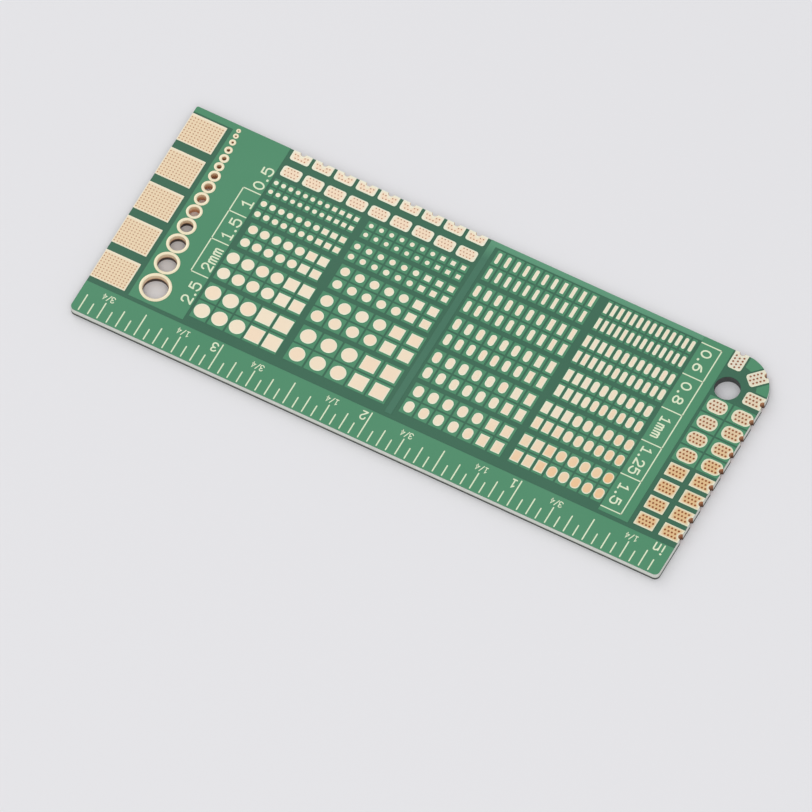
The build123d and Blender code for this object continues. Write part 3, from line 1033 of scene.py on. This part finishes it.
# %% Pads round the big corner
parts = []
for bulge, place, turn in (
    (0.0, (right, level_pad_y), 0), (big_corner, slanted_pad, 45), (0.0, (upright_pad_x, back), 90),
):
    corner_pad = outer_pad(
        corner_pad_length, corner_pad_width, outer_holes, pin_radius, bulge=bulge, inner_radius=0.5
    )
    parts += repeated(corner_pad, [place], turn)
keep_pads("pierced_corner_pads", parts, "corner_pads")

# %% Pads along the back edge
inner_back_width = inner_back_box[1][1] - inner_back_box[0][1]
outer_back_length = outer_back_box[1][1] - outer_back_box[0][1]
inner_back_y = (inner_back_box[0][1] + inner_back_box[1][1]) / 2
back_pitch, back_row_pitch = 0.53, 0.6
back_pin_radius = 0.115
inner_holes = hole_rows((4, 5, 4), back_pitch, back_row_pitch)
outer_holes = back_pitch * np.array([
    (-2.4, -1.5), (-2.4, -0.5), (-2.4, 0.5), (-2.4, 1.5), (-1.2, -2), (-1.2, 2),
    (-1.3, -1.1), (-1.3, 1.1),
])
inner = rounded_pad(
    edge_pad_length, inner_back_width, inner_holes, back_pin_radius, corner=0.45, steps=6
)
outer = outer_pad(
    outer_back_length, edge_pad_length, outer_holes, back_pin_radius, inner_radius=0.4
)
parts = repeated(inner, [(x, inner_back_y) for x in back_pad_columns])
keep_pads("pierced_inner_back_pads", parts, "back_pads_inner", land_gold, faint_copper)
parts = repeated(outer, [(x, back) for x in back_pad_columns], turn=90)
keep_pads("pierced_outer_back_pads", parts, "back_pads_outer", land_gold, faint_copper)

# %% [markdown]
# ## Print
#
# The print is pale ink, squeezed through a screen in lines of one width, as a plotter would draw
# them. Each stroke is a ribbon: a path, widened to both sides, with round ends where the width
# falls to nothing. Letters are a few strokes in a box one unit high, bent through their control
# points, and each word is stretched over the length that it has on the board.

# %% Ribbons of ink
ink_bottom = foil_top - 0.002
ink_height = 0.018
bend_steps = 6
thinnest = 0.004
cap_falls = np.array([1.0, 0.92, 0.71, 0.38])
offsets = np.array([1.0, 0.75, -0.75, -1.0])
rises = np.array([0.0, 1.0, 1.0, 0.0])


def bent(controls):
    """A smooth path: quadratic arcs that meet midway between the control points.

    Arc i runs from one midpoint to the next as (1-t)^2 A + 2t(1-t) B + t^2 C.
    """
    controls = np.array(controls, float)
    middle = (controls[2:-1] + controls[1:-2]) / 2
    starts, ends = np.vstack([controls[:1], middle]), np.vstack([middle, controls[-1:]])
    t = np.linspace(0, 1, bend_steps + 1)[None, :-1, None]
    arcs = (
        (1 - t) ** 2 * starts[:, None] + 2 * t * (1 - t) * controls[1:-1][:, None]
        + t**2 * ends[:, None]
    )
    return np.vstack([arcs.reshape(-1, 2), controls[-1:]])


def ribbon(path, width, lift=0.0, loop=False):
    """A low closed ribbon along a path, flat below and domed above.

    Point (i, j) is the path's point i plus its sideways normal times the half width times
    the offset j. At an open end the half width falls as a half circle does.
    """
    path = np.array(path, float)
    half = np.full(len(path), width / 2)
    if not loop:
        fall = cap_falls * width / 2
        cap = np.sqrt(np.maximum((width / 2) ** 2 - fall**2, thinnest**2))
        first, last = path[1] - path[0], path[-1] - path[-2]
        path = np.vstack([
            path[0] - fall[:, None] * first / np.linalg.norm(first), path,
            path[-1] + fall[::-1, None] * last / np.linalg.norm(last),
        ])
        half = np.concatenate([cap, half, cap[::-1]])
    ahead = np.roll(path, -1, 0) - path
    if not loop:
        ahead[-1] = ahead[-2]
    normal = left_of(ahead)
    before = np.roll(normal, 1, 0)
    if not loop:
        before[0] = normal[0]
    mean = normal + before
    mean /= np.linalg.norm(mean, axis=1)[:, None]
    mean /= np.maximum((mean * normal).sum(1), 0.5)[:, None]
    flat = path[:, None] + mean[:, None] * half[:, None, None] * offsets[None, :, None]
    heights = np.broadcast_to(ink_bottom + lift + ink_height * rises, flat.shape[:2])
    points = np.dstack([flat, heights]).reshape(-1, 3)
    faces = grid_faces(len(path), 4, closed=loop).tolist()
    if not loop:
        end = len(points)
        faces += [[0, 1, 2, 3], [end - 1, end - 2, end - 3, end - 4]]
    return points, faces, [0] * len(faces)


# %% Letters
def oval(x, y, half_x, half_y):
    """A closed round stroke."""
    return ("loop", np.array([x, y]) + (half_x, half_y) * on_circle(np.arange(24) * math.pi / 12))


def straight(*points):
    """A stroke of straight lines."""
    return ("open", np.array(points))


def curve(*controls):
    """A stroke bent through control points."""
    return ("open", bent(controls))


def dot(x, y):
    """A short stroke, drawn broader than the others."""
    return ("dot", np.array([(x - 0.015, y), (x + 0.015, y)]))


letters = {
    "0": [oval(0.3, 0.5, 0.3, 0.5)],
    "1": [straight((0.08, 0.8), (0.3, 1.0), (0.3, 0.0)), straight((0.06, 0.0), (0.54, 0.0))],
    "2": [curve((0.02, 0.74), (0.04, 1.02), (0.56, 1.04), (0.66, 0.6), (0.3, 0.36), (0.0, 0.0)),
          straight((0.0, 0.0), (0.6, 0.0))],
    "3": [curve((0.02, 0.84), (0.14, 1.03), (0.6, 1.04), (0.6, 0.56), (0.22, 0.54)),
          curve((0.22, 0.54), (0.66, 0.54), (0.66, -0.03), (0.12, -0.04), (0.0, 0.18))],
    "4": [straight((0.44, 0.0), (0.44, 1.0), (0.0, 0.3), (0.6, 0.3))],
    "5": [straight((0.56, 1.0), (0.1, 1.0), (0.05, 0.54)),
          curve((0.05, 0.54), (0.2, 0.66), (0.66, 0.66), (0.66, -0.04), (0.14, -0.04), (0.0, 0.16))],
    "6": [curve((0.52, 1.0), (0.2, 0.86), (0.02, 0.66), (0.0, 0.32)), oval(0.3, 0.31, 0.3, 0.31)],
    "8": [oval(0.3, 0.76, 0.25, 0.24), oval(0.3, 0.26, 0.3, 0.26)],
    "m": [straight((0.0, 0.0), (0.0, 0.68)),
          curve((0.0, 0.42), (0.04, 0.7), (0.32, 0.74), (0.32, 0.42), (0.32, 0.0)),
          curve((0.32, 0.42), (0.36, 0.7), (0.64, 0.74), (0.64, 0.42), (0.64, 0.0))],
    "n": [straight((0.0, 0.0), (0.0, 0.68)),
          curve((0.0, 0.4), (0.06, 0.7), (0.42, 0.76), (0.42, 0.4), (0.42, 0.0))],
    "i": [straight((0.08, 0.0), (0.08, 0.66)), dot(0.08, 0.95)],
    ".": [dot(0.1, 0.04)],
    "/": [straight((0.0, -0.05), (0.5, 1.05))],
}
letter_widths = {".": 0.2, "i": 0.16, "m": 0.64, "n": 0.42, "/": 0.5}
usual_width, letter_space = 0.6, 0.3
dot_breadth = 1.4
stroke_lift = 0.0015


def word(text, start, end, height, width):
    """Ribbons for a word whose baseline runs from start to end, with letters to its left.

    Each stroke lies a little above the one before it, so that no two faces share a plane.
    """
    start, end = np.array(start), np.array(end)
    length = np.linalg.norm(end - start)
    along = (end - start) / length
    up = np.array([-along[1], along[0]])
    widths = [letter_widths.get(letter, usual_width) for letter in text]
    stretch = (length - width) / (sum(widths) + letter_space * (len(text) - 1))
    cursor, parts = width / 2, []
    for letter, letter_width in zip(text, widths):
        for kind, stroke in letters[letter]:
            path = (
                start + along * (cursor + stroke[:, :1] * stretch)
                + up * (width / 2 + stroke[:, 1:] * (height - width))
            )
            broad = width * (dot_breadth if kind == "dot" else 1.0)
            parts.append(ribbon(path, broad, stroke_lift * len(parts), loop=kind == "loop"))
        cursor += (letter_width + letter_space) * stretch
    return parts


# %% Ruler
inch = 25.4
ruler_zero = right - 0.2
tick_count = 62
tick_width = 0.22
tick_start = front + 0.35
tick_tops = {16: 5.0, 8: 4.2, 4: 3.2, 2: 3.2, 1: 2.2}
parts = []
for tick in range(1, tick_count + 1):
    step = next(s for s in tick_tops if tick % s == 0)
    x = ruler_zero - inch * tick / 16
    parts.append(ribbon([(x, tick_start), (x, front + tick_tops[step])], tick_width))


def ruler_word(text, start_x, end_x, foot, height, width=0.24):
    """A word along the ruler, which reads from the back."""
    return word(text, (start_x, front + foot), (end_x, front + foot), height, width)


for number in (1, 2, 3):
    x = ruler_zero - inch * number
    parts += ruler_word(str(number), x - 0.45, x - 1.45, foot=4.9, height=1.6)
half_fraction = 1.03
for quarter, text in ((1, "1/4"), (3, "3/4")):
    for whole in range(4):
        x = ruler_zero - inch * (whole + quarter / 4)
        parts += ruler_word(
            text, x + half_fraction, x - half_fraction, foot=4.68, height=1.07, width=0.16
        )
parts += ruler_word("in", right - 1.1, right - 2.9, foot=5.2, height=1.9)
keep_piece("ruler_print", joined(parts), [print_ink])

# %% Size labels and their brackets
label_width = 0.27
line_width = 0.2


def label_column(labels, word_x, height, bracket_x, line_end_x, line_places):
    """A column of words, with a bracket line along it and cross lines between the sizes."""
    parts = []
    for text, start, end in labels:
        parts += word(text, (word_x, front + start), (word_x, front + end), height, label_width)
    bracket = [(bracket_x, front + line_places[0]), (bracket_x, front + line_places[-1])]
    parts.append(ribbon(bracket, line_width))
    for y in line_places:
        cross_line = [(x, front + y) for x in sorted((bracket_x, line_end_x))]
        parts.append(ribbon(cross_line, line_width))
    return parts


left_labels = (
    ("2.5", 8.8, 12.7), ("2mm", 15.2, 19.5), ("1.5", 21.4, 25.3), ("1", 27.6, 29.2),
    ("0.5", 31.3, 35.4),
)
right_labels = (
    ("0.6", 38.0, 33.95), ("0.8", 31.7, 27.6), ("1mm", 24.9, 20.9), ("1.25", 19.0, 13.9),
    ("1.5", 11.8, 8.0),
)
left_lines = (14.2, 20.64, 26.14, 30.7)
right_lines = (6.87, 13.2, 19.8, 26.18, 32.8, 38.84)
parts = label_column(
    left_labels, word_x=left + 15.86, height=1.86,
    bracket_x=left + 13.03, line_end_x=left + 15.9, line_places=left_lines,
)
parts += label_column(
    right_labels, word_x=left + 87.45, height=1.75,
    bracket_x=left + 90.18, line_end_x=left + 86.8, line_places=right_lines,
)
keep_piece("label_print", joined(parts), [print_ink])
